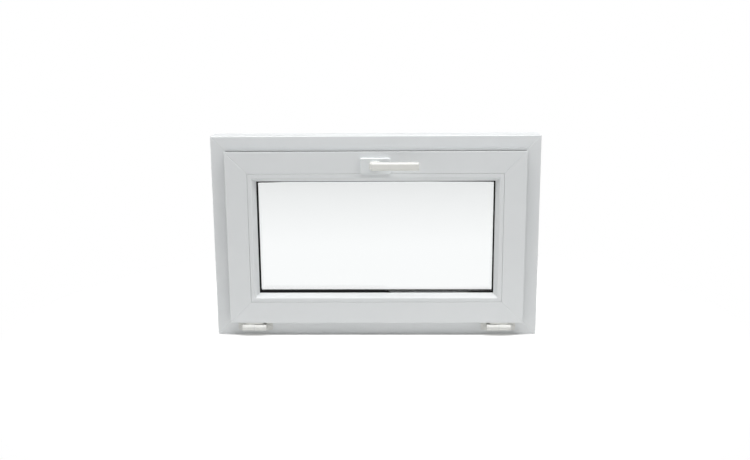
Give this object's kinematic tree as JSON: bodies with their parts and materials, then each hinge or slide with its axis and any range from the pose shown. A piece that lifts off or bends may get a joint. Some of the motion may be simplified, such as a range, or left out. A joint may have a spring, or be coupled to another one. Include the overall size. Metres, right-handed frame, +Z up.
{
  "type": "hopper window",
  "caption": "White PVC hopper window: a double-glazed sash hinged along its bottom edge tilts into the room from a fixed frame, with a lever handle on the top rail.",
  "frame": {"origin": "on the underside of the sill, at mid width and mid depth of the fixed frame", "axes": "+X along the sill to the right seen from the room, +Y out to the weather, +Z up"},
  "size_m": [0.8, 0.139, 0.5],
  "materials": {
    "pvc_white": "smooth extruded white PVC, satin gloss",
    "seal_black": "matt black EPDM",
    "glass_clear": "clear float glass",
    "spacer_aluminium": "mill aluminium",
    "edge_sealant": "dark sealant",
    "hinge_white": "white powder coat",
    "pin_steel": "zinc-plated steel",
    "handle_white": "white powder coat",
    "cap_white": "moulded white"
  },
  "bodies": {
    "frame": {"frame_sill": "pvc_white", "frame_head": "pvc_white", "frame_jamb_left": "pvc_white", "frame_jamb_right": "pvc_white", "frame_gasket": "seal_black", "drain_cap_left": "cap_white", "drain_cap_right": "cap_white", "hinge_frame_leaf_left": "hinge_white", "hinge_frame_leaf_right": "hinge_white", "hinge_pin_left": "pin_steel", "hinge_pin_right": "pin_steel"},
    "sash": {"sash_bottom_rail": "pvc_white", "sash_top_rail": "pvc_white", "sash_stile_left": "pvc_white", "sash_stile_right": "pvc_white", "sash_gasket": "seal_black", "bead_bottom": "pvc_white", "bead_top": "pvc_white", "bead_left": "pvc_white", "bead_right": "pvc_white", "bead_gasket": "seal_black", "outer_glazing_gasket": "seal_black", "pane_room": "glass_clear", "pane_outside": "glass_clear", "edge_seal": "edge_sealant", "spacer_bar": "spacer_aluminium", "handle_base": "handle_white", "hinge_sash_leaf_left": "hinge_white", "hinge_sash_leaf_right": "hinge_white"},
    "handle": {"handle_lever": "handle_white"}
  },
  "joints": [
    {"name": "sash_tilt", "type": "hinge", "parent": "frame", "child": "sash", "pos_m": [0, -0.055, 0.023], "axis": [1, 0, 0], "range_deg": [0, 30]},
    {"name": "handle_turn", "type": "hinge", "parent": "sash", "child": "handle", "pos_m": [0, -0.087, 0.43375], "axis": [0, 1, 0], "range_deg": [0, 90]}
  ]
}
